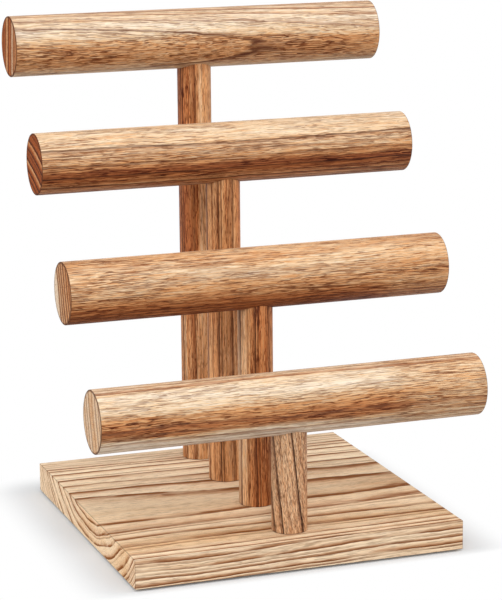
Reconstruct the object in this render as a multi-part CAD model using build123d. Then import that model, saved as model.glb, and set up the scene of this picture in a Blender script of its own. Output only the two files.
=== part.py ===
# Tiered jewellery stand: four wooden T pieces stand in a row on a square-edged board.
# Millimetres, +Z up, +X along the bars, +Y towards the tallest tier at the back.
# The origin is the centre of the board's outline, at the level that the feet stand on.

import os
from itertools import accumulate
from math import acos, degrees, sqrt
from operator import sub

from build123d import *

# Base board
boardWidth = 230.0
boardDepth = 236.0
boardThickness = 20.0
edgeBreak = 0.4  # small chamfer on every long wooden edge

# Bars and posts, the same section on every tier
barRadius = 21.0
barLength = 268.0
postRadius = 12.0

# Tiers from the tallest at the back to the lowest at the front
tallestHeight = 307.0  # axis of the rear bar above the board's top face
heightDrops = (73.0, 76.0, 71.0)  # drop from each bar to the next one in front
rearSetback = 23.0  # axis of the rear post from the board's back edge
rowSpacings = (60.0, 64.0, 64.0)  # from each post to the next one in front

# Seat of the post's end in the bar's underside
seatClearance = 0.15
seatMargin = 1.2  # depth of full wall left round the post's end

# Pads under the board
footRadius = 7.0
footThickness = 1.5
footInset = 16.0  # pad centre from the board's edges

# Clamping bolt from below, 6 mm thread, with its washer and threaded insert
boltRadius = 3.0
boltHeadRadius = 5.25
boltHeadHeight = 3.3
boltShoulderShare = 0.25  # straight side of the head, as a share of its height
boltCrownShare = 0.55  # flat end of the head, as a share of its radius
boltSocketAcross = 4.0
boltSocketDepth = 2.0
boltEngagement = 15.0  # length of thread inside the insert
boltPitch = 1.0
washerRadius = 9.0
washerThickness = 1.6
washerClearance = 0.2
counterboreDepth = 6.6
counterboreClearance = 0.5
swivelClearance = 0.05  # running fit of the bolt in the board
insertRadius = 5.0
insertLength = 16.0
insertPitch = 2.0
insertFlange = 1.0  # plain collar at the insert's mouth
insertRoom = 3.0  # empty hole past the insert, for the bolt's tip

# Double-ended screw between a post and its bar
screwRadius = 3.0
screwReach = 20.0  # length driven into each piece
screwPoint = 4.0  # length of each tapered tip
screwPitch = 2.5
screwTipRadius = 0.6
screwRoom = 0.5  # empty hole past each tip
screwWaist = 1.5  # half the plain length at the middle

threadClearance = 0.05  # between a thread's crests and its hole
threadDepthShare = 0.3  # groove depth as a share of the pitch
turnGap = 0.5  # left between a turned bar and the next taller post

boardBottom = footThickness
boardTop = boardBottom + boardThickness
counterboreTop = boardBottom + counterboreDepth
headTop = counterboreTop - washerThickness
seatDepth = barRadius - sqrt(barRadius**2 - postRadius**2) + seatMargin
tierHeights = list(accumulate(heightDrops, sub, initial=tallestHeight))
tierDistances = list(accumulate(rowSpacings, sub, initial=boardDepth / 2 - rearSetback))

os.makedirs("parts", exist_ok=True)


def save(solid, name):
    solid.label = name
    export_step(solid, os.path.join("parts", name + ".step"))


def rod(radius, bottom, top):
    return Pos(0, 0, bottom) * Cylinder(radius, top - bottom, align=(Align.CENTER, Align.CENTER, Align.MIN))


def turned(points):
    # A solid of revolution about Z from its outline, given as (radius, height) points.
    outline = Polyline(*[(radius, 0, height) for radius, height in points], close=True)
    return revolve(make_face(outline), Axis.Z)


def threadOutline(radius, bottom, top, pitch):
    # Ridges of a thread as rings: crests at the given radius, grooves between them.
    count = max(1, int((top - bottom) / pitch))
    step = (top - bottom) / count
    root = radius - threadDepthShare * pitch
    points = [(radius, bottom)]
    for ridge in range(count):
        points.append((root, bottom + (ridge + 0.5) * step))
        points.append((radius, bottom + (ridge + 1) * step))
    return points


def makeBoard():
    board = Pos(0, 0, boardBottom) * Box(
        boardWidth, boardDepth, boardThickness, align=(Align.CENTER, Align.CENTER, Align.MIN)
    )
    board = chamfer(board.edges(), edgeBreak)
    swivelHole = rod(boltRadius + swivelClearance, boardBottom, boardTop)
    counterbore = rod(washerRadius + counterboreClearance, boardBottom, counterboreTop)
    for distance in tierDistances:
        board -= Pos(0, distance, 0) * (swivelHole + counterbore)
    return board


def makeFoot():
    return rod(footRadius, 0, footThickness)


def makeWasher():
    return rod(washerRadius, headTop, counterboreTop) - rod(boltRadius + washerClearance, headTop, counterboreTop)


def makeBolt():
    # Low domed head with a hexagon socket, plain through the board, threaded in the insert.
    headBottom = headTop - boltHeadHeight
    shoulder = boltShoulderShare * boltHeadHeight
    crown = boltCrownShare * boltHeadRadius
    outline = [(0, headBottom), (crown, headBottom), (boltHeadRadius, headTop - shoulder)]
    outline += [(boltHeadRadius, headTop), (boltRadius, headTop)]
    outline += threadOutline(boltRadius, boardTop, boardTop + boltEngagement, boltPitch)
    outline.append((0, boardTop + boltEngagement))
    hexagon = RegularPolygon(boltSocketAcross / 2, 6, major_radius=False)
    return turned(outline) - extrude(Pos(0, 0, headBottom) * hexagon, boltSocketDepth)


def makeInsert():
    top = boardTop + insertLength
    outline = [(boltRadius + threadClearance, boardTop), (insertRadius, boardTop)]
    outline += threadOutline(insertRadius, boardTop + insertFlange, top, insertPitch)
    outline.append((boltRadius + threadClearance, top))
    return turned(outline)


def makePost(seatFloor):
    post = rod(postRadius, boardTop, seatFloor)
    post = chamfer(post.edges().filter_by(GeomType.CIRCLE), edgeBreak)
    insertHole = rod(insertRadius + threadClearance, boardTop, boardTop + insertLength + insertRoom)
    screwHole = rod(screwRadius + threadClearance, seatFloor - screwReach - screwRoom, seatFloor)
    return post - insertHole - screwHole


def makeScrew(seatFloor):
    # Coarse ridges on both halves, a short plain waist and two tapered tips.
    half = threadOutline(screwRadius, screwWaist, screwReach - screwPoint, screwPitch)
    half += [(screwTipRadius, screwReach), (0, screwReach)]
    lower = [(radius, -height) for radius, height in reversed(half)]
    return Pos(0, 0, seatFloor) * turned(lower + half)


def makeBar(axisHeight, seatFloor):
    bar = Pos(0, 0, axisHeight) * (Rot(0, 90, 0) * Cylinder(barRadius, barLength))
    bar = chamfer(bar.edges().filter_by(GeomType.CIRCLE), edgeBreak)
    seat = rod(postRadius + seatClearance, axisHeight - barRadius - seatMargin, seatFloor)
    screwHole = rod(screwRadius + threadClearance, seatFloor, seatFloor + screwReach + screwRoom)
    return bar - seat - screwHole


def printTurnRange(number):
    # How far a bar turns before it meets the next taller post behind it.
    if number == 0:
        print("tier 1 turns clear of every post")
        return
    spacing = tierDistances[number - 1] - tierDistances[number]
    limit = degrees(acos((barRadius + postRadius + turnGap) / spacing))
    print(f"tier {number + 1} turns {limit:.2f} degrees each way")


save(makeBoard(), "base_board")

footX = boardWidth / 2 - footInset
footY = boardDepth / 2 - footInset
footPlaces = {
    "foot_front_left": (-footX, -footY),
    "foot_front_right": (footX, -footY),
    "foot_rear_left": (-footX, footY),
    "foot_rear_right": (footX, footY),
}
for name, (x, y) in footPlaces.items():
    save(Pos(x, y, 0) * makeFoot(), name)

for index, (distance, height) in enumerate(zip(tierDistances, tierHeights)):
    tier = index + 1
    place = Pos(0, distance, 0)
    axisHeight = boardTop + height
    seatFloor = axisHeight - barRadius + seatDepth
    save(place * makePost(seatFloor), f"post_{tier}")
    save(place * makeBar(axisHeight, seatFloor), f"bar_{tier}")
    save(place * makeScrew(seatFloor), f"dowel_screw_{tier}")
    save(place * makeInsert(), f"threaded_insert_{tier}")
    save(place * makeBolt(), f"base_bolt_{tier}")
    save(place * makeWasher(), f"washer_{tier}")
    printTurnRange(index)
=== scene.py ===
# Tiered jewellery stand in oiled pale wood: four T pieces in a row on a square-edged board.
# Metres, +Z up, +X along the bars, +Y towards the tallest tier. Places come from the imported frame.

import math

import bmesh
import bpy
from mathutils import Euler, Matrix, Vector


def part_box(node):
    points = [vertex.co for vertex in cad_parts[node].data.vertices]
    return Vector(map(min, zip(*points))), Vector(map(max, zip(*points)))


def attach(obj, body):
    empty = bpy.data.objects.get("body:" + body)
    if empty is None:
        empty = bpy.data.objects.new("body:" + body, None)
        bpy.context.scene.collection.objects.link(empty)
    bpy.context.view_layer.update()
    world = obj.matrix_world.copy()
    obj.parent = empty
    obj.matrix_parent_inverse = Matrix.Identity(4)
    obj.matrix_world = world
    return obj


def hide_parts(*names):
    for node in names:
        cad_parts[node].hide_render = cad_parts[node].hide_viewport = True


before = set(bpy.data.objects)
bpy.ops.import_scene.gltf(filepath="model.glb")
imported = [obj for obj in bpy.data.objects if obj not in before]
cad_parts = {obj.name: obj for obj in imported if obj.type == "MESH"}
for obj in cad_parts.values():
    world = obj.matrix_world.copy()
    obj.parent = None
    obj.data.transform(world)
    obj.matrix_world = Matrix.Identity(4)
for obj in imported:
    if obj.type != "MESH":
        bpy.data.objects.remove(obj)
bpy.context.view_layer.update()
print("frame loaded:", len(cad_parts), "nodes")

mm = 0.001
tierCount = 4


def tint(red, green, blue):
    # A colour as seen on a screen, 0 to 255, as the linear colour that the nodes use.
    shades = [level / 255 for level in (red, green, blue)]
    linear = [s / 12.92 if s <= 0.04045 else ((s + 0.055) / 1.055) ** 2.4 for s in shades]
    return (*linear, 1.0)


class Wire:
    # One output socket. Arithmetic on it adds Math nodes to its tree.

    def __init__(self, graph, socket):
        self.graph = graph
        self.socket = socket

    def math(self, operation, *others):
        inputs = dict(enumerate([self, *others]))
        return self.graph.add("ShaderNodeMath", {"operation": operation}, inputs)

    def swapped(self, operation, first):
        return self.graph.add("ShaderNodeMath", {"operation": operation}, {0: first, 1: self})

    def __add__(self, other):
        return self.math("ADD", other)

    def __sub__(self, other):
        return self.math("SUBTRACT", other)

    def __rsub__(self, other):
        return self.swapped("SUBTRACT", other)

    def __mul__(self, other):
        return self.math("MULTIPLY", other)

    def __truediv__(self, other):
        return self.math("DIVIDE", other)

    def __rtruediv__(self, other):
        return self.swapped("DIVIDE", other)

    def pick(self, name):
        # Another output of the same node.
        return Wire(self.graph, self.socket.node.outputs[name])

    def climb(self, low, high):
        # 0 up to low, 1 from high, straight between them.
        return self.graph.add("ShaderNodeMapRange", None, {"Value": self, 1: low, 2: high})

    def step(self, low, high):
        # 0 at low, 1 at high, with a soft start and end; low may be above high.
        inputs = {"Value": self, 1: low, 2: high, 3: 0.0, 4: 1.0}
        if low > high:
            inputs.update({1: high, 2: low, 3: 1.0, 4: 0.0})
        settings = {"interpolation_type": "SMOOTHSTEP"}
        return self.graph.add("ShaderNodeMapRange", settings, inputs)


class Graph:
    def __init__(self, tree):
        self.tree = tree

    def add(self, kind, settings=None, inputs=None):
        # A node of any kind: its settings come first, then the values or wires of its sockets.
        node = self.tree.nodes.new(kind)
        for name, value in (settings or {}).items():
            if name == "stops":
                self.fillRamp(node.color_ramp, value)
            else:
                setattr(node, name, value)
        for key, value in (inputs or {}).items():
            if isinstance(value, Wire):
                self.tree.links.new(value.socket, node.inputs[key])
            else:
                node.inputs[key].default_value = value
        shown = [socket for socket in node.outputs if socket.enabled]
        return Wire(self, shown[0]) if shown else node

    def fillRamp(self, ramp, stops):
        # The ramp starts with two stops; the others are put between them, in order.
        for element, (place, colour) in zip(ramp.elements, (stops[0], stops[-1])):
            element.position = place
            element.color = colour
        for place, colour in stops[1:-1]:
            ramp.elements.new(place).color = colour

    def profile(self, value, stops):
        # A value looked up between (place, level) stops, in order of place.
        low, high = stops[0][0], stops[-1][0]
        span = high - low
        greys = [((place - low) / span, (level, level, level, 1)) for place, level in stops]
        ramp = self.add("ShaderNodeValToRGB", {"stops": greys}, {"Fac": value.climb(low, high)})
        return self.add("ShaderNodeSeparateColor", None, {0: ramp})

    def blend(self, share, first, second, how="MIX"):
        # Mix of two colours.
        settings = {"data_type": "RGBA", "blend_type": how}
        return self.add("ShaderNodeMix", settings, {0: share, 6: first, 7: second})

    def noise(self, vector, sizes, detail=2.0, roughness=0.5):
        # Noise about 0.5 whose cells have these sizes.
        factors = tuple(1 / size for size in sizes)
        settings = {"operation": "MULTIPLY"}
        cells = self.add("ShaderNodeVectorMath", settings, {0: vector, 1: factors})
        inputs = {"Vector": cells, "Scale": 1.0, "Detail": detail, "Roughness": roughness}
        return self.add("ShaderNodeTexNoise", None, inputs)

    def split(self, vector):
        # A vector's X; its Y and Z are picked from it.
        return self.add("ShaderNodeSeparateXYZ", None, {0: vector})

    def join(self, x, y, z):
        return self.add("ShaderNodeCombineXYZ", None, {0: x, 1: y, 2: z})

    def moved(self, vector, way):
        return self.add("ShaderNodeVectorMath", {"operation": "ADD"}, {0: vector, 1: way})

    def mark(self, name):
        # What the mesh itself says at each point, such as how far it is end grain.
        return self.add("ShaderNodeAttribute", {"attribute_name": name}).pick("Fac")

    def bump(self, strength, distance, height):
        inputs = {"Strength": strength, "Distance": distance, "Height": height}
        return self.add("ShaderNodeBump", None, inputs)


def newMaterial(name):
    material = bpy.data.materials.new(name)
    material.use_nodes = True
    material.node_tree.nodes.clear()
    return material, Graph(material.node_tree)


def closeMaterial(graph, shader):
    graph.add("ShaderNodeOutputMaterial", None, {"Surface": shader})


def closeSurface(graph, values):
    closeMaterial(graph, graph.add("ShaderNodeBsdfPrincipled", None, values))


def pieceGrid(graph, centre, turn=Euler()):
    # Object coordinates in millimetres, measured from a piece's centre and turned.
    moved = -(turn.to_matrix() @ (Vector(centre) / mm))
    inputs = {
        "Vector": graph.add("ShaderNodeTexCoord").pick("Object"),
        "Location": moved,
        "Rotation": turn,
        "Scale": (1 / mm, 1 / mm, 1 / mm),
    }
    return graph.add("ShaderNodeMapping", None, inputs)


# Wood, cut from a log: growth rings, streaks and vessel lines along the grain. Lengths are in
# millimetres. A pair called an edge gives the noise levels between which something sets in.
oiledWood = {
    "gloss": 0.46,  # roughness of the oiled surface
    "poreGloss": 0.80,
    "endGloss": 0.3,  # what a sawn end adds to the roughness
    "coatGloss": 0.32, "refraction": 1.45,
    "poreDepth": 0.00015,  # metres
    "bump": 0.7, "lineRelief": 0.25, "fibreRelief": 0.35,
    "seedSteps": (271.3, 53.7, 91.1),  # how far apart in the log two pieces' seeds lie
    "rampRings": 5,  # rings that one colour ramp holds
    "ringKink": 0.4,  # where a ring's slope bends, and how far up it has come there
    "lineFade": 0.25,  # from a line's outer side to pale wood
    "brokenSize": (45.0, 3.0, 9.0),  # patches in which rings fade
    "brokenEdge": (0.36, 0.56), "boldEdge": (0.55, 0.85), "boldClimb": 0.5, "quietClimb": 25.0,
    "quietSoft": 0.4, "quietLine": 0.5, "farShare": 0.9,
    "crowdSize": (60.0, 4.0, 8.0),  # bands in which vessels crowd
    "crowdEdge": (0.35, 0.62), "crowdHair": 0.7, "crowdPore": 0.04,
    "hairEdge": (0.085, 0.025),  # measured from the noise's middle
    "hairDepth": 0.6, "poreClimb": 0.08,
    "dotSize": (0.9, 0.9, 0.9),  # pores on a sawn end
    "dotEdge": (0.56, 0.68), "dot": 0.5,
    "deepTones": (0.15, 0.75),  # vessels show more in the brown parts
    "deep": 0.45,
    "endTint": tint(214, 176, 146),  # end grain drinks more oil and turns darker
    "arrisColour": tint(72, 42, 28),
}


def ringMasks(graph, place, rings, core):
    # Late wood darkens softly and ends in a thin line. A ring is (place of its edge, width of its
    # soft side, strength of the soft side, strength of the line), in millimetres; core is the
    # width of the line. The result is a mask for the soft sides and one for the lines.
    masks = None
    kink = oiledWood["ringKink"]
    for first in range(0, len(rings), oiledWood["rampRings"]):
        some = rings[first : first + oiledWood["rampRings"]]
        low = some[0][0] - some[0][1] - core - 1
        high = some[-1][0] + 1
        stops = [(low, 0.0, 0.0)]
        for edge, width, shade, dark in some:
            start = max(edge - core - width, stops[-1][0] + 0.05)
            stops += [(start, 0.0, 0.0), (edge - core - kink * width, kink * shade, 0.0)]
            stops += [(edge - core, shade, kink * dark), (edge - kink * core, shade, dark)]
            stops += [(edge, shade, dark), (edge + oiledWood["lineFade"], 0.0, 0.0)]
        colours = [((spot - low) / (high - low), (*levels, 0, 1)) for spot, *levels in stops]
        inputs = {"Fac": place.climb(low, high)}
        ramp = graph.add("ShaderNodeValToRGB", {"stops": colours}, inputs)
        shares = graph.add("ShaderNodeSeparateColor", None, {0: ramp})
        found = [shares, shares.pick("Green")]
        masks = [old.math("MAXIMUM", new) for old, new in zip(masks, found)] if masks else found
    return masks


def woodMaterial(name, centre, grainUp, look):
    # Across and height are the row's y and z in a lying piece, and its y and -x in an upright
    # one. Noise sizes are along the grain, from ring to ring and round the ring.
    material, graph = newMaterial(name)
    grain = pieceGrid(graph, centre, Euler((0, math.radians(90) if grainUp else 0, 0)))
    shift = tuple(look["seed"] * step for step in look["seedSteps"])
    own = graph.moved(grain, shift)
    along = graph.split(grain)
    across = along.pick("Y")
    height = along.pick("Z")
    endGrain = graph.mark("endGrain")
    arris = graph.mark("arris")

    # The log's slow bends and the fibres' small waves
    slow = graph.split(graph.noise(own, look["bendSize"], detail=1.5).pick("Color"))
    fine = graph.split(graph.noise(own, look["waveSize"]).pick("Color"))
    slowUp = slow.pick("Y")
    fineUp = fine.pick("Y")
    bentAcross = across + (slow - 0.5) * look["bend"] + (fine - 0.5) * look["wave"]
    bentHeight = height + (slowUp - 0.5) * look["bend"] + (fineUp - 0.5) * look["wave"]

    # Place in the log: outwards from the ring through the piece's middle, and along that ring
    pith = math.radians(look["pithTurn"])
    sideways = bentAcross - look["pithReach"] * math.cos(pith)
    upwards = bentHeight - look["pithReach"] * math.sin(pith)
    fromPith = (sideways * sideways + upwards * upwards).math("SQRT")
    outwards = fromPith - look["pithReach"] + along * look["lean"]
    roundRing = bentHeight * math.cos(pith) - bentAcross * math.sin(pith)
    logPlace = graph.moved(graph.join(along, outwards, roundRing), shift)

    # The rings' soft sides and lines, which fade in places
    soft, line = ringMasks(graph, outwards, look["rings"], look["lineWidth"])
    boldFrom = look["boldFrom"]
    bold = height.step(boldFrom, boldFrom + look["boldClimb"]).math("MAXIMUM", endGrain)
    line = line.math("MAXIMUM", soft.step(*look["boldEdge"]) * bold * look["bold"])
    broken = graph.noise(logPlace, look["brokenSize"]).step(*look["brokenEdge"])
    quietFrom, quietSide = look["quiet"]
    quiet = outwards.step(quietFrom - 0.5, quietFrom + 0.5)
    quiet = quiet * across.step(quietSide, quietSide + look["quietClimb"])
    held = broken * look["broken"] + (1.0 - look["broken"])
    soft = soft * held * (1.0 - quiet * look["quietSoft"])
    line = line * held * (1.0 - quiet * look["quietLine"])

    # Ground colour: tone 0 is cream sapwood and tone 1 is brown heartwood. On the bars and posts
    # the tones are partly wood and partly painted light and shade.
    streak = graph.noise(logPlace, look["streakSize"], 3.0, 0.6)
    fibre = graph.noise(logPlace, look["fibreSize"], 2.0, 0.7)
    patch = graph.noise(own, look["patchSize"])
    level = across if look["toneAcross"] else height
    band = graph.profile(level + (patch - 0.5) * look["patch"], look["tones"])
    # On posts 1 and 2 this far end is painted light: it makes their lower part paler.
    farStart, farStop, farTone = look["farEnd"]
    band = band + (farTone - band) * along.step(farStart, farStop) * look["farShare"]
    if look["endRings"]:  # a sawn end's own rings and tones, along a straight line across it
        endTurn = math.radians(look["endTurn"])
        endPlace = bentAcross * math.cos(endTurn) + bentHeight * math.sin(endTurn)
        endSoft, endLine = ringMasks(graph, endPlace, look["endRings"], look["endLineWidth"])
        soft = soft + (endSoft - soft) * endGrain
        line = line + (endLine - line) * endGrain
        band = band + (graph.profile(endPlace, look["endTones"]) - band) * endGrain
    tone = band + (streak - 0.5) * look["streak"] + (fibre - 0.5) * look["fibre"]
    wood = graph.add("ShaderNodeValToRGB", {"stops": look["colours"]}, {"Fac": tone})
    wood = graph.blend(soft * look["soft"], wood.pick("Color"), look["softColour"])

    # Vessels: long and wavy hairs in bands, short dashes, and dots on a sawn end
    sideGrain = 1.0 - endGrain
    crowd = graph.noise(logPlace, look["crowdSize"]).step(*look["crowdEdge"])
    crowdHair = crowd * look["crowdHair"] + (1.0 - look["crowdHair"])
    hair = (graph.noise(logPlace, look["hairSize"], 1.0) - 0.5).math("ABSOLUTE")
    hair = hair.step(*look["hairEdge"]) * crowdHair * sideGrain
    dash = graph.noise(logPlace, look["poreSize"], 1.0) + crowd * look["crowdPore"]
    poreStart = look["poreStart"]
    pore = dash.step(poreStart, poreStart + look["poreClimb"]) * sideGrain
    dots = graph.noise(own, look["dotSize"], 1.0).step(*look["dotEdge"]) * endGrain
    wood = graph.blend(endGrain * look["endShare"], wood, look["endTint"], "MULTIPLY")
    deep = tone.step(*look["deepTones"]) * look["deep"] + (1.0 - look["deep"])
    for share in (hair * deep * look["hair"], pore * deep * look["pore"], dots * look["dot"]):
        wood = graph.blend(share, wood, look["poreTint"], "MULTIPLY")
    wood = graph.blend(line * look["line"], wood, look["lineColour"])
    wood = graph.blend(arris * look["arris"], wood, look["arrisColour"])

    dark = pore.math("MAXIMUM", hair * look["hairDepth"]).math("MAXIMUM", dots)
    rough = dark * (look["poreGloss"] - look["gloss"]) + look["gloss"]
    relief = 1.0 - dark - line * look["lineRelief"] + fibre * look["fibreRelief"]
    values = {
        "Base Color": wood,
        "Roughness": rough + endGrain * look["endGloss"],
        "Normal": graph.bump(look["bump"], look["poreDepth"], relief),
        "IOR": look["refraction"],
        "Specular IOR Level": look["specular"],
        "Coat Weight": sideGrain * look["coat"],
        "Coat Roughness": look["coatGloss"],
    }
    closeSurface(graph, values)
    return material


# What the looks share. Each one adds its seed, its rings, its tones as (place, tone) along the
# height, and pithTurn, the direction of the pith from +Y towards +Z in degrees. On the bars and
# posts the tones are partly wood and partly painted light and shade. The rings of a bar's sawn
# end follow each other along endTurn, measured in the same way.
barLook = {
    **oiledWood,
    "pithReach": 90.0,
    "lean": 0.0,  # the rings drift this much towards the pith for each millimetre of grain
    "soft": 0.80, "softColour": tint(170, 100, 56), "lineWidth": 0.45, "line": 0.90,
    "lineColour": tint(66, 38, 26),
    "quiet": (99.0, 99.0),  # rings further out than this and across by more than that are faint
    "boldFrom": 99.0,  # height from which the lines are bold
    "bold": 1.0,
    "broken": 0.4,  # how far the rings fade in places
    "bendSize": (170.0, 40.0, 40.0), "bend": 5.0, "waveSize": (14.0, 4.0, 4.0), "wave": 1.2,
    "streakSize": (110.0, 2.2, 5.0), "streak": 0.5, "fibreSize": (20.0, 0.42, 0.5),
    "fibre": 0.95, "patchSize": (80.0, 16.0, 16.0), "patch": 7.0,
    "toneAcross": False,  # the tones are looked up across the piece, not along its height
    "farEnd": (900.0, 930.0, 0.5),  # from here to there along the grain the tone goes over to this
    "colours": [
        (0.0, tint(230, 215, 194)), (0.28, tint(221, 192, 156)), (0.52, tint(209, 154, 103)),
        (0.78, tint(183, 112, 64)), (1.0, tint(122, 62, 35)),
    ],
    "hairSize": (32.0, 0.9, 1.1), "hair": 0.95, "poreSize": (10.0, 0.42, 0.5),
    "poreStart": 0.57, "pore": 0.9,
    "poreTint": tint(132, 88, 64),  # what the vessels leave of the colour round them
    "endRings": [],
    "endLineWidth": 1.5, "endShare": 0.8, "arris": 0.85, "specular": 0.08, "coat": 0.12,
}

# A bar's tones are partly painted light and shade: paler up to its lit top, browner in the shaded
# band below its middle, and paler again at the very bottom, where light bounces up.
barLooks = [
    {
        **barLook,
        "seed": 1.0, "pithTurn": 18.0, "lean": -0.0387,
        "rings": [(-20, 4, 0.8, 0.8), (-15, 3, 0.9, 0.9), (-10, 3, 0.7, 0.5), (-5, 3, 0.9, 0.9),
            (-1.5, 2, 0.6, 0.4), (3, 3, 0.9, 0.9), (8, 3, 0.6, 0.5), (13, 3, 0.4, 0.4),
            (18.7, 1.5, 0.3, 1)],
        "lineColour": tint(82, 40, 24),
        "tones": [(-21, 0.26), (-17, 0.38), (-12, 0.54), (-5, 0.54), (1, 0.46), (7, 0.24),
            (12, 0.1), (17, 0.24), (21, 0.3)],
        "endTurn": 8.0, "endLineWidth": 2.0,
        "endRings": [(-15.5, 2, 0.3, 0.8), (-10.4, 2, 0.6, 1), (-4.2, 2, 0.6, 1), (3, 5, 1, 1),
            (11, 3, 0.8, 1), (17, 3, 0.8, 0.8)],
        "endTones": [(-21, 0.46), (-12, 0.46), (-10, 0.02), (-6.5, 0.1), (-4, 0.6), (3, 0.86),
            (4, 0.34), (10, 0.44), (12, 0.84), (21, 0.66)],
    },
    {
        **barLook,
        "seed": 2.0, "pithTurn": -77.5, "pithReach": 70.0,
        "rings": [(-15, 4, 0.8, 1), (-12, 2, 0.5, 0.4), (-8, 3, 1, 1), (-4, 2.5, 0.6, 0.5),
            (0.2, 3.5, 1, 1), (4, 2.5, 0.4, 0.4), (7.7, 3, 0.4, 0.5), (12, 2, 0.3, 0.3),
            (16, 2.5, 0.5, 0.7)],
        "lineWidth": 0.8, "lineColour": tint(50, 26, 19), "broken": 0.25, "patch": 4.0,
        "tones": [(-21, 0.6), (-16, 0.6), (-12, 0.66), (-8, 0.94), (-5.5, 0.92), (-3, 0.66),
            (1, 0.5), (6, 0.4), (11, 0.36), (15, 0.3), (21, 0.3)],
        "endTurn": -70.0, "endLineWidth": 2.0,
        "endRings": [(-16, 3, 0.8, 0.6), (-9.4, 4, 1, 1), (-2, 4.5, 1, 1), (0.6, 1.4, 0.6, 0.5),
            (5.5, 3.4, 1, 1), (12.8, 4.5, 1, 1), (17.5, 2.5, 0.8, 0.8)],
        "endTones": [(-21, 0.84), (-9, 0.8), (-8.4, 0.28), (-5, 0.78), (5.4, 0.88), (6.4, 0.26),
            (9.5, 0.78), (21, 0.84)],
    },
    {
        **barLook,
        "seed": 3.0, "pithTurn": -38.0,
        "rings": [(-14, 2, 0.4, 0.5), (-10.5, 2, 0.5, 0.7), (-7.5, 2, 0.6, 0.8),
            (-4.5, 2, 0.8, 0.9), (-1.5, 2, 0.8, 0.9), (1.5, 2, 0.8, 0.9), (4.5, 2.5, 0.9, 0.9),
            (7.3, 3, 1, 1), (11, 2, 0.5, 0.4), (20.6, 1, 0.2, 0.2)],
        "lineWidth": 0.6, "lineColour": tint(76, 44, 30),
        "tones": [(-21, 0.95), (-16, 0.88), (-11, 0.8), (-5, 0.58), (1, 0.5), (8, 0.34),
            (14, 0.34), (18, 0.44), (21, 0.44)],
        "farEnd": (70.0, 100.0, 0.47), "endTurn": -17.0, "endLineWidth": 2.2,
        "endRings": [(-17, 3, 0.8, 0.7), (-11.5, 3, 0.9, 0.9), (-5.5, 3, 0.9, 0.9),
            (0.5, 3, 0.9, 0.9), (5.5, 2.5, 0.8, 0.8), (10.5, 2.5, 0.8, 0.8)],
        "endTones": [(-21, 0.54), (-5, 0.44), (4, 0.38), (11, 0.26), (13, 0.04), (21, 0)],
        "endShare": 0.35,
    },
    {
        **barLook,
        "seed": 4.0, "pithTurn": -30.0,
        "rings": [(-17, 2, 0.6, 0.4), (-13.5, 2, 0.6, 0.6), (-10, 2, 0.6, 0.5), (-6, 2, 0.7, 0.7),
            (-2, 3, 0.5, 0.5), (2, 2, 0.7, 0.7), (6, 3, 0.5, 0.5), (11, 3, 0.6, 0.6),
            (14.5, 2, 0.6, 0.5), (17.4, 3, 0.9, 0.6)],
        "lineColour": tint(104, 72, 52),
        "tones": [(-21, 0), (-15, 0.02), (-11, 0.2), (-8, 0.6), (-4, 0.76), (0, 0.66), (4, 0.52),
            (7, 0.4), (11, 0.26), (16, 0.14), (21, 0.3)],
        "farEnd": (55.0, 85.0, 0.40), "endTurn": -14.0,
        "endRings": [(-16.5, 2.5, 0.4, 0.7), (-10, 2.5, 0.4, 0.8), (-3, 2.5, 0.3, 0.5),
            (4.5, 2.5, 0.4, 0.8), (10.5, 2.5, 0.4, 0.7), (16, 2.5, 0.4, 0.6)],
        "endTones": [(-21, 0.24), (-9, 0.2), (-4, 0.36), (3, 0.3), (6, 0.14), (21, 0.28)],
        "endShare": 0.3,
    },
]

postLook = {
    **barLook,
    "pithReach": 60.0,
    "rings": [(-9.4, 3.2, 0.7, 0.9), (-4.2, 1.4, 0.4, 0.4), (1.1, 3.8, 0.8, 1), (3, 1, 0.4, 0.7),
        (9.6, 4.4, 0.7, 0.6)],
    "lineWidth": 0.9, "broken": 0.3, "wave": 0.6, "streakSize": (160.0, 2.6, 4.0),
    "streak": 1.1, "fibreSize": (16.0, 0.42, 0.5), "fibre": 1.0, "patch": 3.0,
    "colours": [
        (0.0, tint(243, 208, 168)), (0.3, tint(226, 168, 114)), (0.55, tint(206, 130, 76)),
        (0.8, tint(174, 98, 56)), (1.0, tint(112, 56, 34)),
    ],
    "hairSize": (30.0, 0.9, 1.1), "poreSize": (5.0, 0.42, 0.5),
}

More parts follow.
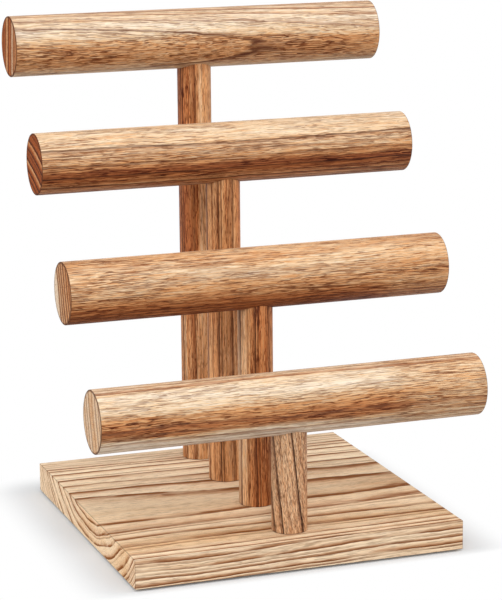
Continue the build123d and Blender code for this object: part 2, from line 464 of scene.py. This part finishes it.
# Across each post the tones are partly painted shade at its sides. On posts 1 and 2, farEnd paints
# the lower part paler, a painted light where the bars' shadows fall.
postLooks = [
    {
        **postLook,
        "seed": 5.0, "pithTurn": 20.0,
        "tones": [(-12, 0.54), (-9, 0.34), (0, 0.32), (2, 0.5), (8, 0.56), (12, 0.78)],
        "farEnd": (-10.0, -45.0, 0.30),
    },
    {
        **postLook,
        "seed": 6.0, "pithTurn": 60.0, "streak": 0.6, "fibre": 0.8,
        "tones": [(-12, 0.5), (-4, 0.4), (5, 0.38), (12, 0.38)],
        "farEnd": (15.0, -15.0, 0.30),
    },
    {
        **postLook,
        "seed": 7.0, "pithTurn": 75.0, "streak": 0.9,
        "tones": [(-12, 0.4), (-6, 0.52), (2, 0.56), (6, 0.42), (10, 0.2), (12, 0.12)],
    },
    {
        **postLook,
        "seed": 8.0, "pithTurn": 70.0, "pithReach": 240.0, "lean": 0.105,
        "rings": [(-12.6, 2, 0.6, 0.9), (-6.8, 1.6, 0.6, 1), (6.2, 1.6, 0.5, 1)],
        "lineWidth": 1.1, "lineColour": tint(46, 26, 20), "broken": 0.15, "bend": 1.6,
        "wave": 0.3, "streak": 0.6, "fibreSize": (5.0, 0.42, 0.5), "fibre": 1.4,
        "tones": [(-12, 0.48), (-4, 0.44), (4, 0.4), (12, 0.36)],
        "colours": [
            (0.0, tint(244, 214, 180)), (0.3, tint(230, 186, 144)), (0.55, tint(206, 150, 106)),
            (0.8, tint(176, 110, 70)), (1.0, tint(112, 60, 36)),
        ],
        "poreSize": (3.0, 0.42, 0.5), "poreStart": 0.55, "poreTint": tint(118, 88, 72),
    },
]

boardLook = {
    **barLook,
    "seed": 9.0, "pithTurn": 95.7, "pithReach": 120.6, "lean": 0.0135,
    "rings": [(-7.3, 3, 0.9, 0.9), (-0.8, 5.4, 0.9, 0.9), (1.2, 1, 0.4, 0.5), (6.2, 3.6, 0.8, 0.9),
        (13.9, 4.6, 0.9, 1), (16.6, 1.2, 0.4, 0.5), (23.9, 4.4, 0.9, 1), (29.8, 3.2, 0.8, 1),
        (33.4, 3, 0.8, 1), (34.9, 0.9, 0.4, 0.4), (37.6, 2.3, 0.8, 1), (39.4, 1, 0.3, 0.5),
        (41.2, 1.4, 0.7, 0.9), (44.4, 2.8, 0.8, 1), (45.9, 0.8, 0.4, 0.8), (49.6, 3.2, 0.7, 0.9),
        (51.2, 1, 0.5, 0.8), (55.4, 3.4, 0.8, 1), (59.8, 3, 0.8, 1)],
    "soft": 0.95, "softColour": tint(190, 118, 58), "lineWidth": 0.8, "line": 0.86,
    "lineColour": tint(104, 54, 24), "quiet": (34.5, 0.0), "boldFrom": 9.3, "bold": 0.8,
    "broken": 0.6, "bendSize": (150.0, 40.0, 40.0), "bend": 8.0, "wave": 0.9,
    "streakSize": (160.0, 7.0, 16.0), "streak": 0.4, "fibreSize": (30.0, 0.8, 0.9),
    "fibre": 0.55, "patchSize": (120.0, 30.0, 30.0), "patch": 40.0, "toneAcross": True,
    "tones": [(-118, 0.06), (-108, 0.12), (-92, 0.36), (-72, 0.2), (-55, 0.1), (-20, 0.2),
        (10, 0.16), (30, 0.04), (118, 0.04)],
    "colours": [
        (0.0, tint(252, 230, 198)), (0.3, tint(242, 208, 166)), (0.6, tint(218, 166, 114)),
        (1.0, tint(170, 110, 66)),
    ],
    "hair": 0.45, "poreStart": 0.58, "pore": 0.70, "poreTint": tint(126, 98, 80),
    "endShare": 0.12, "arris": 0.5,
    "specular": 0.0,  # the board is seen at a flat angle, at which any more would hide its grain
    "coat": 0.05,
}

print("wood defined")

# Metal and felt
zincLook = {
    "colour": tint(196, 198, 200), "stain": tint(170, 166, 152), "stainEdge": (0.42, 0.66),
    "threadRootColour": tint(96, 90, 84), "threadRootShare": 0.7, "gloss": 0.22, "cloudSize": (2.5, 2.5, 2.5),
    "cloudGloss": 0.22, "cloudRelief": 0.4, "scratchSize": (3.0, 0.12, 0.5),
    "scratchEdge": (0.58, 0.66), "scratchGloss": 0.15, "scratchRelief": 0.5, "bump": 0.35,
    "depth": 0.00004,
}
brassLook = {
    "colour": tint(206, 172, 96), "stain": tint(168, 128, 66), "stainEdge": (0.40, 0.66),
    "rootShare": 0.6, "gloss": 0.25, "cloudSize": (3.0, 3.0, 3.0), "cloudGloss": 0.16,
    "ringSize": (40.0, 40.0, 0.10), "bump": 0.4, "depth": 0.00003,
}
feltLook = {
    "colour": tint(74, 62, 54), "light": tint(120, 106, 94), "lightEdge": (0.48, 0.68),
    "fibreSizes": ((0.9, 0.25, 0.9), (0.25, 0.9, 0.9)), "glue": tint(52, 44, 38),
    "glueHeights": (1.15, 1.30), "gloss": 0.95, "sheen": 0.3, "bump": 0.8, "depth": 0.00018,
}


def zincMaterial():
    # Bright plated steel: cloudy plating, fine scratches, darker in the roots of the threads.
    material, graph = newMaterial("zinc_plated_steel")
    look = zincLook
    place = pieceGrid(graph, (0, 0, 0))
    cloud = graph.noise(place, look["cloudSize"], 3.0, 0.6)
    scratch = graph.noise(place, look["scratchSize"], 2.0, 0.6).step(*look["scratchEdge"])
    colour = graph.blend(cloud.step(*look["stainEdge"]), look["colour"], look["stain"])
    # Darker in the roots of the threads.
    colour = graph.blend(graph.mark("root") * look["threadRootShare"], colour, look["threadRootColour"])
    rough = cloud * look["cloudGloss"] + look["gloss"] + scratch * look["scratchGloss"]
    relief = cloud * look["cloudRelief"] - scratch * look["scratchRelief"]
    bump = graph.bump(look["bump"], look["depth"], relief)
    values = {"Base Color": colour, "Metallic": 1.0, "Roughness": rough, "Normal": bump}
    closeSurface(graph, values)
    return material


def brassMaterial():
    # Turned brass: fine rings from the tool round the axis, warm stains.
    material, graph = newMaterial("turned_brass")
    look = brassLook
    place = pieceGrid(graph, (0, 0, 0))
    cloud = graph.noise(place, look["cloudSize"], 3.0, 0.6)
    rings = graph.noise(place, look["ringSize"], 1.0)
    colour = graph.blend(cloud.step(*look["stainEdge"]), look["colour"], look["stain"])
    colour = graph.blend(graph.mark("root") * look["rootShare"], colour, look["stain"])
    rough = cloud * look["cloudGloss"] + look["gloss"]
    bump = graph.bump(look["bump"], look["depth"], rings)
    values = {"Base Color": colour, "Metallic": 1.0, "Roughness": rough, "Normal": bump}
    closeSurface(graph, values)
    return material


def feltMaterial():
    # Pressed felt: matted fibres in two shades, with a darker film of glue at its back.
    material, graph = newMaterial("pressed_felt")
    look = feltLook
    place = pieceGrid(graph, (0, 0, 0))
    tangles = [graph.noise(place, size, 3.0, 0.7) for size in look["fibreSizes"]]
    fibres = tangles[0].math("MAXIMUM", tangles[1])
    back = graph.split(place).pick("Z").step(*look["glueHeights"])
    colour = graph.blend(fibres.step(*look["lightEdge"]), look["colour"], look["light"])
    colour = graph.blend(back, colour, look["glue"])
    bump = graph.bump(look["bump"], look["depth"], fibres)
    values = {"Base Color": colour, "Roughness": look["gloss"], "Normal": bump}
    closeSurface(graph, {**values, "Sheen Weight": look["sheen"]})
    return material


materials = {
    "zinc_steel": zincMaterial(), "insert_brass": brassMaterial(), "foot_felt": feltMaterial(),
}
print("metal and felt finished")

# Turned pieces: one tree makes bars, posts, screws, inserts and pads.
stickForm = {
    "floats": (
        "Radius", "Length", "Edge Round", "Thread Depth", "Thread Pitch", "Thread Start",
        "Thread End", "Plain Middle", "Tip Length", "Tip Radius", "Uneven", "Uneven Size",
    ),
    "counts": ("Around", "Rows", "Seed"),
    "faceRows": 5,  # rows of points on each flat end
    "arrisRows": 5,
    "flank": (0.12, 0.80),  # where a thread's flank starts and ends, from crest to root
    "rim": (0.6, 0.8),  # where an end's dark rim sets in, as a share of its rows
}
pointReach = 1e-7  # points closer than this are one
carvedReach = 1e-6
sliverReach = 1e-8


def makeStickTree():
    # A round stick along X about the origin: two flat ends, rounded arrises, an optional thread
    # with a plain stretch at its middle, and optional tapered tips.
    tree = bpy.data.node_groups.new("turned_stick", "GeometryNodeTree")
    tree.is_modifier = True
    graph = Graph(tree)
    sockets = [("Geometry", "NodeSocketGeometry")]
    sockets += [(name, "NodeSocketFloat") for name in stickForm["floats"]]
    sockets += [(name, "NodeSocketInt") for name in stickForm["counts"]]
    sockets.append(("Material", "NodeSocketMaterial"))
    for name, kind in sockets:
        tree.interface.new_socket(name, in_out="INPUT", socket_type=kind)
    tree.interface.new_socket("Geometry", in_out="OUTPUT", socket_type="NodeSocketGeometry")
    asked = graph.add("NodeGroupInput")
    radius = asked.pick("Radius")
    length = asked.pick("Length")
    edge = asked.pick("Edge Round")
    around = asked.pick("Around")
    rows = asked.pick("Rows")
    faceRows = stickForm["faceRows"]
    endRows = faceRows + stickForm["arrisRows"]

    # A flat grid: its X becomes the angle, and its rows run from one end's middle to the other's
    rowCount = rows + (2 * endRows + 1)
    gridInputs = {"Vertices X": around + 1, "Vertices Y": rowCount, "Size X": 1.0, "Size Y": 1.0}
    grid = graph.add("GeometryNodeMeshGrid", None, gridInputs)
    cell = graph.split(graph.add("GeometryNodeInputPosition"))
    angle = (cell + 0.5) * (2 * math.pi)
    row = (cell.pick("Y") + 0.5) * (rowCount - 1)
    longEnd = rows + endRows
    firstFace = row.climb(0, faceRows)
    firstArris = row.climb(faceRows, endRows)
    side = row.climb(endRows, longEnd)
    lastArris = row.climb(longEnd, longEnd + stickForm["arrisRows"])
    lastFace = 1.0 - row.climb(longEnd + stickForm["arrisRows"], longEnd + endRows)
    face = firstFace.math("MINIMUM", lastFace)
    lack = 1.0 - face
    spread = 1.0 - lack * lack * lack  # rows crowd towards the rim
    lie = (firstArris + lastArris) * (math.pi / 2)
    run = 0.5 - (side * math.pi).math("COSINE") * 0.5
    place = (run - 0.5) * (length - edge * 2.0) - lie.math("COSINE") * edge

    # Tapered tips and the thread
    reach = place.math("ABSOLUTE")
    tip = reach.climb(length * 0.5 - asked.pick("Tip Length"), length * 0.5)
    local = radius - tip * (radius - asked.pick("Tip Radius"))
    fromEnd = place + length * 0.5
    pitch = asked.pick("Thread Pitch")
    lead = pitch * 0.5
    threadStart = asked.pick("Thread Start")
    threadEnd = asked.pick("Thread End")
    plainMiddle = asked.pick("Plain Middle")
    cut = fromEnd.climb(threadStart, threadStart + lead)
    cut = cut * (1.0 - fromEnd.climb(threadEnd - lead, threadEnd))
    cut = cut * reach.climb(plainMiddle - lead, plainMiddle)
    turnShare = (place / pitch - angle / (2 * math.pi)).math("FRACT")
    groove = 1.0 - ((turnShare - 0.5) * 2.0).math("ABSOLUTE")
    root = cut * groove.step(*stickForm["flank"]) * (firstArris - lastArris)

    # Where the points go, with what sanding leaves uneven
    ringY = angle.math("COSINE")
    ringZ = angle.math("SINE")
    waves = {
        "Vector": graph.join(place, ringY * radius, ringZ * radius),
        "W": asked.pick("Seed"),
        "Scale": 1.0 / asked.pick("Uneven Size"),
        "Detail": 1.0,
    }
    wave = graph.add("ShaderNodeTexNoise", {"noise_dimensions": "4D"}, waves)
    rise = lie.math("SINE")
    out = (local - edge) * spread + rise * edge - root * asked.pick("Thread Depth")
    out = (out - wave * asked.pick("Uneven") * rise).math("MAXIMUM", 0.0)
    shaped = graph.join(place, ringY * out, ringZ * out)
    flat = lie.math("COSINE").math("ABSOLUTE")
    rim = (lie * 2.0).math("SINE").math("ABSOLUTE")
    rim = rim.math("MAXIMUM", face.climb(*stickForm["rim"]) * flat)

    # The marks are stored while the grid is still flat, as everything is read from its places
    mesh = grid
    for name, value in {"endGrain": flat, "arris": rim, "root": root}.items():
        inputs = {"Geometry": mesh, "Name": name, "Value": value}
        mesh = graph.add("GeometryNodeStoreNamedAttribute", None, inputs)
    mesh = graph.add("GeometryNodeSetPosition", None, {"Geometry": mesh, "Position": shaped})
    inputs = {"Geometry": mesh, "Distance": pointReach}
    mesh = graph.add("GeometryNodeMergeByDistance", None, inputs)
    mesh = graph.add("GeometryNodeSetShadeSmooth", None, {"Geometry": mesh})
    mesh = graph.add("GeometryNodeRealizeInstances", None, {"Geometry": mesh})
    inputs = {"Geometry": mesh, "Material": asked.pick("Material")}
    mesh = graph.add("GeometryNodeSetMaterial", None, inputs)
    graph.add("NodeGroupOutput", None, {"Geometry": mesh})
    return tree


stickTree = makeStickTree()
plainStick = {
    "Edge Round": 0.4, "Thread Depth": 0.0, "Thread Pitch": 1.0, "Thread Start": 0.0,
    "Thread End": 0.0, "Plain Middle": 0.0, "Tip Length": 0.1, "Uneven": 0.0, "Uneven Size": 20.0,
    "Around": 96, "Rows": 24, "Seed": 1,
}


def newObject(name, data):
    made = bpy.data.objects.new(name, data)
    bpy.context.scene.collection.objects.link(made)
    return made


def applyAll(piece):
    # The evaluated object becomes its plain mesh, and its modifiers go.
    bpy.context.view_layer.update()
    evaluated = piece.evaluated_get(bpy.context.evaluated_depsgraph_get())
    shaped = bpy.data.meshes.new_from_object(evaluated)
    piece.modifiers.clear()
    piece.data = shaped


def mendMesh(mesh, reach):
    # Points closer than this become one, and every face points outwards.
    form = bmesh.new()
    form.from_mesh(mesh)
    bmesh.ops.remove_doubles(form, verts=form.verts, dist=reach)
    bmesh.ops.recalc_face_normals(form, faces=form.faces)
    form.to_mesh(mesh)
    form.free()


def makeStick(name, sizes, material):
    # Sizes in millimetres, whole numbers as they are.
    values = {**plainStick, "Tip Radius": sizes["Radius"], **sizes, "Material": material}
    piece = newObject(name, bpy.data.meshes.new(name))
    modifier = piece.modifiers.new("stick", "NODES")
    modifier.node_group = stickTree
    for item in stickTree.interface.items_tree:
        if item.item_type == "SOCKET" and item.in_out == "INPUT" and item.name in values:
            value = values[item.name]
            isLength = item.socket_type == "NodeSocketFloat"
            modifier[item.identifier] = value * mm if isLength else value
    applyAll(piece)
    mendMesh(piece.data, pointReach)
    return piece


def lathe(name, outline, material, around=64):
    # A solid of revolution about Z from a closed outline of (radius, height) in millimetres.
    form = bmesh.new()
    points = [form.verts.new((radius * mm, 0, height * mm)) for radius, height in outline]
    edges = [form.edges.new(pair) for pair in zip(points, points[1:] + points[:1])]
    turned = {"geom": points + edges, "axis": (0, 0, 1), "cent": (0, 0, 0)}
    bmesh.ops.spin(form, **turned, angle=2 * math.pi, steps=around)
    bmesh.ops.remove_doubles(form, verts=form.verts, dist=pointReach)
    bmesh.ops.dissolve_degenerate(form, dist=sliverReach, edges=form.edges)
    bmesh.ops.recalc_face_normals(form, faces=form.faces)
    mesh = bpy.data.meshes.new(name)
    form.to_mesh(mesh)
    form.free()
    mesh.materials.append(material)
    mesh.shade_smooth()
    return newObject(name, mesh)


def roundedOutline(outline, radius, steps=4):
    # Every corner off the axis gets a small round; a corner on the axis stays.
    result = []
    for i, corner in enumerate(outline):
        here = Vector(corner)
        if here.x < 1e-6:
            result.append(tuple(here))
            continue
        before = Vector(outline[i - 1]) - here
        after = Vector(outline[(i + 1) % len(outline)]) - here
        reach = min(radius, 0.45 * before.length, 0.45 * after.length)
        start = here + before.normalized() * reach
        end = here + after.normalized() * reach
        for k in range(steps + 1):
            share = k / steps
            left = 1 - share
            spot = start * left**2 + here * 2 * share * left + end * share**2
            result.append(tuple(spot))
    return result


cutter = {
    "around": 64, "wideAround": 96,
    "turn": 70.0,  # divided by the sides, in degrees, so that no corners of two cuts meet
    "past": 2.0,  # how far a cutter reaches past a face
    "shortPast": 1.0,
}


def carve(piece, tool, operation="DIFFERENCE"):
    # A Boolean with another object, which is then removed.
    modifier = piece.modifiers.new("carve", "BOOLEAN")
    modifier.object = tool
    modifier.operation = operation
    modifier.solver = "EXACT"
    applyAll(piece)
    mendMesh(piece.data, carvedReach)
    bpy.data.objects.remove(tool)


def drill(radius, bottom, top, spot, around=cutter["around"], sink=0.0):
    # A cutter along Z through a spot, between two heights in millimetres. A sink breaks the
    # hole's lower corner, where the cutter starts a little below the face.
    outline = [(0, bottom), (radius, bottom), (radius, top), (0, top)]
    if sink:
        past = cutter["shortPast"]
        outline = [(0, bottom), (radius + sink + past, bottom), (radius, bottom + past + sink)]
        outline += [(radius, top), (0, top)]
    tool = lathe("drill", outline, materials["zinc_steel"], around)
    turn = Matrix.Rotation(math.radians(cutter["turn"] / around), 4, "Z")
    tool.data.transform(Matrix.Translation((spot[0], spot[1], 0)) @ turn)
    return tool


def standUp(piece, centre):
    # A stick along X becomes an upright one with its middle at the centre.
    upright = Matrix.Rotation(math.radians(-90), 4, "Y")
    piece.data.transform(Matrix.Translation(centre) @ upright)


def finishPiece(piece, node, body, flatAngle=35, flatWeight=80):
    # Flats stay flat and corners crisp; the piece then stands for its node and rides on its body.
    piece.data.shade_smooth()
    piece.data.set_sharp_from_angle(angle=math.radians(flatAngle))
    modifier = piece.modifiers.new("flats", "WEIGHTED_NORMAL")
    modifier.keep_sharp = True
    modifier.weight = flatWeight
    applyAll(piece)
    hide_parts(node)
    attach(piece, body)


# The wooden pieces
barSizes = {
    "stick": {"Radius": 21.0, "Edge Round": 0.5, "Uneven": 0.07, "Rows": 60},
    "seatRadius": 12.15,
    "seatDepth": 4.966,  # floor of the seat above the bar's lowest line
    "seatStart": 12.0,  # the seat's cutter starts this far below that floor
    "screwHole": 3.05, "screwReach": 20.5,
}


def makeBar(number):
    low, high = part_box(f"bar_{number}")
    centre = (low + high) / 2
    material = woodMaterial(f"bar_{number}_wood", centre, False, barLooks[number - 1])
    sizes = {**barSizes["stick"], "Length": (high.x - low.x) / mm, "Seed": number}
    bar = makeStick(f"crossbar_{number}", sizes, material)
    bar.data.transform(Matrix.Translation(centre))
    floor = low.z / mm + barSizes["seatDepth"]
    seatStart = floor - barSizes["seatStart"]
    carve(bar, drill(barSizes["seatRadius"], seatStart, floor, centre, cutter["wideAround"]))
    screwStart = floor - cutter["past"]
    screwEnd = floor + barSizes["screwReach"]
    carve(bar, drill(barSizes["screwHole"], screwStart, screwEnd, centre))
    finishPiece(bar, f"bar_{number}", f"tier_{number}")


postSizes = {
    "stick": {"Radius": 12.0, "Edge Round": 0.5, "Uneven": 0.07, "Rows": 48},
    "seed": 10, "insertHole": 5.05, "insertReach": 19.0, "screwHole": 3.05, "screwReach": 20.5,
}


def makePost(number):
    low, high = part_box(f"post_{number}")
    centre = (low + high) / 2
    material = woodMaterial(f"post_{number}_wood", centre, True, postLooks[number - 1])
    seed = postSizes["seed"] + number
    sizes = {**postSizes["stick"], "Length": (high.z - low.z) / mm, "Seed": seed}
    post = makeStick(f"upright_{number}", sizes, material)
    standUp(post, centre)
    foot = low.z / mm
    top = high.z / mm
    insertEnd = foot + postSizes["insertReach"]
    carve(post, drill(postSizes["insertHole"], foot - cutter["past"], insertEnd, centre))
    screwStart = top - postSizes["screwReach"]
    carve(post, drill(postSizes["screwHole"], screwStart, top + cutter["past"], centre))
    finishPiece(post, f"post_{number}", f"tier_{number}")


boardSizes = {
    "arris": 0.45, "arrisSteps": 3, "washerHole": 9.5, "washerReach": 6.6, "washerSink": 0.4,
    "boltHole": 3.05,
}


def makeBoard():
    low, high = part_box("base_board")
    centre = (low + high) / 2
    half = (high - low) / 2
    form = bmesh.new()
    block = Matrix.Translation(centre) @ Matrix.Diagonal((*half, 1))
    bmesh.ops.create_cube(form, size=2.0, matrix=block)
    mesh = bpy.data.meshes.new("board")
    form.to_mesh(mesh)
    form.free()
    mesh.materials.append(woodMaterial("board_wood", centre, False, boardLook))
    board = newObject("board_solid", mesh)
    bevel = board.modifiers.new("arris", "BEVEL")
    bevel.width = boardSizes["arris"] * mm
    bevel.segments = boardSizes["arrisSteps"]
    applyAll(board)

    # Which points lie on the sawn ends, and which on the rounded corners between two faces
    marks = {"endGrain": [], "arris": []}
    for vertex in board.data.vertices:
        offset = vertex.co - centre
        flush = [abs(abs(offset[axis]) - half[axis]) < carvedReach for axis in range(3)]
        marks["endGrain"].append(1.0 if flush[0] else 0.0)
        marks["arris"].append(0.0 if any(flush) else 1.0)
    for name, values in marks.items():
        board.data.attributes.new(name, "FLOAT", "POINT").data.foreach_set("value", values)

    bottom = low.z / mm
    top = high.z / mm + cutter["past"]
    washerStart = bottom - cutter["shortPast"]
    washerEnd = bottom + boardSizes["washerReach"]
    wide = {"around": cutter["wideAround"], "sink": boardSizes["washerSink"]}
    for number in range(1, tierCount + 1):
        postLow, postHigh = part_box(f"post_{number}")
        spot = (postLow + postHigh) / 2
        carve(board, drill(boardSizes["washerHole"], washerStart, washerEnd, spot, **wide))
        carve(board, drill(boardSizes["boltHole"], bottom, top, spot))
    finishPiece(board, "base_board", "base")


makeBoard()
for number in range(1, tierCount + 1):
    makeBar(number)
    makePost(number)
print("wooden pieces finished")

# The fasteners and the pads
screwSizes = {
    "Radius": 3.0, "Length": 40.0, "Edge Round": 0.15, "Thread Depth": 0.72, "Thread Pitch": 2.5,
    "Thread Start": 0.8, "Thread End": 39.2, "Plain Middle": 1.5, "Tip Length": 4.0,
    "Tip Radius": 0.6, "Around": 40, "Rows": 220,
}


def makeDoubleScrew(number):
    low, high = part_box(f"dowel_screw_{number}")
    screw = makeStick(f"double_screw_{number}", screwSizes, materials["zinc_steel"])
    standUp(screw, (low + high) / 2)
    finishPiece(screw, f"dowel_screw_{number}", f"tier_{number}")


insertSizes = {
    "bore": 3.05,
    "lift": 0.02,  # keeps the collar off the board's top, so that the two don't rub in a turn
    "stick": {
        "Radius": 5.0, "Length": 15.96, "Edge Round": 0.2, "Thread Depth": 0.6,
        "Thread Pitch": 2.0, "Thread Start": 1.0, "Thread End": 15.8, "Around": 64, "Rows": 120,
    },
}


def makeInsert(number):
    low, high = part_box(f"threaded_insert_{number}")
    centre = (low + high) / 2
    name = f"brass_insert_{number}"
    insert = makeStick(name, insertSizes["stick"], materials["insert_brass"])
    standUp(insert, centre + Vector((0, 0, insertSizes["lift"] * mm)))
    bottom = low.z / mm - cutter["shortPast"]
    top = high.z / mm + cutter["shortPast"]
    carve(insert, drill(insertSizes["bore"], bottom, top, centre))
    finishPiece(insert, f"threaded_insert_{number}", f"tier_{number}")


boltSizes = {
    "head": [
        (0, 0), (2.7, 0), (3.9, 0.35), (4.75, 1.15), (5.15, 2.1), (5.25, 2.8), (5.25, 3.3),
        (0, 3.3),
    ],
    "headRound": 0.15, "socketAcross": 4.0, "socketDepth": 2.0,
    "socketCone": 0.8,  # what the drill's point leaves below the socket
    "shank": {
        "Radius": 3.0, "Length": 31.0, "Edge Round": 0.35, "Thread Depth": 0.45,
        "Thread Pitch": 1.0, "Thread Start": 16.0, "Thread End": 31.0, "Around": 40, "Rows": 360,
    },
}


def makeBolt(number):
    low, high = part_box(f"base_bolt_{number}")
    centre = Vector(((low.x + high.x) / 2, (low.y + high.y) / 2, 0))
    steel = materials["zinc_steel"]
    head = roundedOutline(boltSizes["head"], boltSizes["headRound"])
    bolt = lathe(f"clamp_bolt_{number}", head, steel)
    corner = boltSizes["socketAcross"] / math.sqrt(3)
    depth = boltSizes["socketDepth"]
    outside = -cutter["shortPast"]
    socket = [(0, outside), (corner, outside), (corner, depth)]
    socket.append((0, depth + boltSizes["socketCone"]))
    carve(bolt, lathe("socket", socket, steel, 6))
    bolt.data.transform(Matrix.Translation((0, 0, low.z)))
    shank = makeStick("shank", boltSizes["shank"], steel)
    standUp(shank, (0, 0, high.z - boltSizes["shank"]["Length"] / 2 * mm))
    carve(bolt, shank, "UNION")
    bolt.data.transform(Matrix.Translation(centre))
    finishPiece(bolt, f"base_bolt_{number}", f"tier_{number}")


washerSizes = {
    "outline": [(3.2, 0), (9.0, 0), (9.0, 1.6), (3.2, 1.6)],
    "round": 0.25, "around": 96,
}


def makeWasher(number):
    low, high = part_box(f"washer_{number}")
    outline = roundedOutline(washerSizes["outline"], washerSizes["round"])
    name = f"wide_washer_{number}"
    washer = lathe(name, outline, materials["zinc_steel"], washerSizes["around"])
    spot = ((low.x + high.x) / 2, (low.y + high.y) / 2, low.z)
    washer.data.transform(Matrix.Translation(spot))
    finishPiece(washer, f"washer_{number}", "base")


padSizes = {
    "Radius": 7.0, "Length": 1.5, "Edge Round": 0.35, "Uneven": 0.25, "Uneven Size": 2.5,
    "Around": 72, "Rows": 4, "Seed": 31,
}


def makePad(corner):
    low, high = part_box(f"foot_{corner}")
    pad = makeStick(f"felt_pad_{corner}", padSizes, materials["foot_felt"])
    standUp(pad, (low + high) / 2)
    finishPiece(pad, f"foot_{corner}", "base")


for number in range(1, tierCount + 1):
    makeDoubleScrew(number)
    makeInsert(number)
    makeBolt(number)
    makeWasher(number)
for corner in ("front_left", "front_right", "rear_left", "rear_right"):
    makePad(corner)
print("fasteners and pads finished")

# The photograph's view, floor and light
viewLook = {
    "place": (-541.17 * mm, -1538.53 * mm, 521.04 * mm),
    "turn": 19.63,  # degrees to the right of +Y
    "dip": 12.55, "roll": -0.52, "focalPixels": 2432.6, "frameWidth": 502, "sensor": 36.0,
    "farthest": 20,
}


def makeCamera():
    turn, dip, roll = (math.radians(viewLook[name]) for name in ("turn", "dip", "roll"))
    forward = (math.sin(turn) * math.cos(dip), math.cos(turn) * math.cos(dip), -math.sin(dip))
    forward = Vector(forward)
    level = Vector((math.cos(turn), -math.sin(turn), 0))
    upright = level.cross(forward)
    right = level * math.cos(roll) + upright * math.sin(roll)
    up = upright * math.cos(roll) - level * math.sin(roll)
    data = bpy.data.cameras.new("camera")
    data.sensor_fit = "HORIZONTAL"
    data.sensor_width = viewLook["sensor"]
    data.lens = viewLook["focalPixels"] * viewLook["sensor"] / viewLook["frameWidth"]
    data.clip_end = viewLook["farthest"]
    camera = newObject("camera", data)
    axes = Matrix((right, up, -forward)).transposed().to_4x4()
    camera.matrix_world = Matrix.Translation(viewLook["place"]) @ axes
    bpy.context.scene.camera = camera


floorLook = {
    "size": 6.0, "colour": (0.595, 0.61, 0.622, 1), "white": (1, 1, 1, 1),
    "glow": 0.10,  # what camera rays see on top of the lit floor, so that it looks white
    "fade": (0.004, 0.042),  # the shadow fades to white between these, from the board's sides
    "frontFade": 4.0,  # how much sooner it does so in front
}


def seenRays(graph):
    # 1 for what the camera, a gloss or a clear body sees, 0 for light that spreads.
    rays = graph.add("ShaderNodeLightPath")
    seen = rays.pick("Is Camera Ray").math("MAXIMUM", rays.pick("Is Glossy Ray"))
    return seen.math("MAXIMUM", rays.pick("Is Transmission Ray"))


def makeFloor():
    size = floorLook["size"]
    mesh = bpy.data.meshes.new("floor")
    corners = [(-size, -size, 0), (size, -size, 0), (size, size, 0), (-size, size, 0)]
    mesh.from_pydata(corners, [], [(0, 1, 2, 3)])
    floor = newObject("floor", mesh)
    material, graph = newMaterial("floor_white")
    low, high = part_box("base_board")
    place = graph.split(graph.add("ShaderNodeTexCoord").pick("Object"))
    outX = (place.math("ABSOLUTE") - high.x).math("MAXIMUM", 0.0)
    behind = (place.pick("Y") - high.y).math("MAXIMUM", 0.0)
    before = (low.y - place.pick("Y")).math("MAXIMUM", 0.0)
    outY = behind + before * floorLook["frontFade"]
    away = (outX * outX + outY * outY).math("SQRT").step(*floorLook["fade"])
    seen = seenRays(graph)
    white = floorLook["white"]
    matt = graph.add("ShaderNodeBsdfDiffuse", None, {"Color": floorLook["colour"]})
    shine = {"Color": white, "Strength": seen * floorLook["glow"]}
    glow = graph.add("ShaderNodeEmission", None, shine)
    near = graph.add("ShaderNodeAddShader", None, {0: matt, 1: glow})
    far = graph.add("ShaderNodeEmission", None, {"Color": white, "Strength": 1.0})
    closeMaterial(graph, graph.add("ShaderNodeMixShader", None, {0: seen * away, 1: near, 2: far}))
    mesh.materials.append(material)


# Azimuth, height angle, distance, size and power. Azimuth 0 is straight in front, and positive
# to the right; distances and sizes are in metres.
lampLooks = {
    "keyLamp": (-15, 38, 2.0, (1.2, 0.9), 18.5), "leftLamp": (-85, 24, 2.0, (0.8, 0.8), 16.5),
    "rightLamp": (75, 24, 2.0, (0.9, 0.5), 14), "topLamp": (0, 85, 1.8, (1.2, 1.2), 11.5),
}
lampAim = (0, 0, 0.15)
worldLight = 0.47


def makeLamp(name, azimuth, elevation, distance, size, power):
    # An area lamp aimed at the middle of the stand.
    turn = math.radians(azimuth)
    rise = math.radians(elevation)
    back = (math.sin(turn) * math.cos(rise), -math.cos(turn) * math.cos(rise), math.sin(rise))
    back = Vector(back)
    data = bpy.data.lights.new(name, "AREA")
    data.shape = "RECTANGLE"
    data.size, data.size_y = size
    data.energy = power
    lamp = newObject(name, data)
    lamp.location = Vector(lampAim) + back * distance
    lamp.rotation_euler = back.to_track_quat("Z", "Y").to_euler()


def makeWorld(level):
    # The world lights at that level and looks white.
    world = bpy.data.worlds.new("studio")
    bpy.context.scene.world = world
    world.use_nodes = True
    world.node_tree.nodes.clear()
    graph = Graph(world.node_tree)
    strength = seenRays(graph) * (1.0 - level) + level
    shine = {"Color": floorLook["white"], "Strength": strength}
    background = graph.add("ShaderNodeBackground", None, shine)
    graph.add("ShaderNodeOutputWorld", None, {"Surface": background})


makeCamera()
makeFloor()
makeWorld(worldLight)
for name, look in lampLooks.items():
    makeLamp(name, *look)
bpy.context.scene.view_settings.view_transform = "Standard"
print("view, floor and light made")
